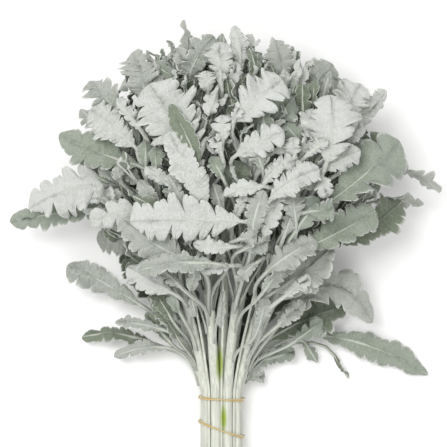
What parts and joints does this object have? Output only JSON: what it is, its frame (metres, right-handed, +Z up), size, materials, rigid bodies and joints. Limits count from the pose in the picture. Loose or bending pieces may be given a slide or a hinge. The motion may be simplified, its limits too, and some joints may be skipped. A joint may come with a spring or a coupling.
{
  "type": "dusty miller bunch",
  "caption": "Bunch of cut dusty miller, silver-grey felted stems and lobed leaves held by thin rubber bands, lying on its back.",
  "frame": {"origin": "centre of the bunch's footprint box, on the ground that it lies on", "axes": "+Y from the cut ends to the head, +Z up from the ground, +X to the right of someone who looks down with the head away from them"},
  "size_m": [0.3684, 0.4235, 0.1473],
  "materials": {
    "stem_felt": "matte, thick pale green-white felt over a fleshy stem",
    "leaf_felt": "matte, silver-grey felt over a soft leaf",
    "band_rubber": "satin natural tan rubber"
  },
  "bodies": {
    "root": {"leaf_01": "leaf_felt", "leaf_02": "leaf_felt", "leaf_03": "leaf_felt", "leaf_04": "leaf_felt", "leaf_05": "leaf_felt", "leaf_06": "leaf_felt", "leaf_07": "leaf_felt", "leaf_08": "leaf_felt", "leaf_09": "leaf_felt", "leaf_10": "leaf_felt", "leaf_11": "leaf_felt", "leaf_12": "leaf_felt", "leaf_13": "leaf_felt", "leaf_14": "leaf_felt", "leaf_15": "leaf_felt", "leaf_16": "leaf_felt", "leaf_17": "leaf_felt", "leaf_18": "leaf_felt", "leaf_19": "leaf_felt", "leaf_20": "leaf_felt", "leaf_21": "leaf_felt", "leaf_22": "leaf_felt", "leaf_23": "leaf_felt", "leaf_24": "leaf_felt", "leaf_25": "leaf_felt", "leaf_26": "leaf_felt", "leaf_27": "leaf_felt", "leaf_28": "leaf_felt", "leaf_29": "leaf_felt", "leaf_30": "leaf_felt", "leaf_31": "leaf_felt", "leaf_32": "leaf_felt", "leaf_33": "leaf_felt", "leaf_34": "leaf_felt", "leaf_35": "leaf_felt", "leaf_36": "leaf_felt", "leaf_37": "leaf_felt", "leaf_38": "leaf_felt", "leaf_39": "leaf_felt", "leaf_40": "leaf_felt", "leaf_41": "leaf_felt", "leaf_42": "leaf_felt", "leaf_43": "leaf_felt", "leaf_44": "leaf_felt", "leaf_45": "leaf_felt", "leaf_46": "leaf_felt", "rubber_band_1": "band_rubber", "rubber_band_2": "band_rubber", "stem_01": "stem_felt", "stem_02": "stem_felt", "stem_03": "stem_felt", "stem_04": "stem_felt", "stem_05": "stem_felt", "stem_06": "stem_felt", "stem_07": "stem_felt", "stem_08": "stem_felt", "stem_09": "stem_felt", "stem_10": "stem_felt", "stem_11": "stem_felt", "stem_12": "stem_felt"}
  },
  "joints": []
}
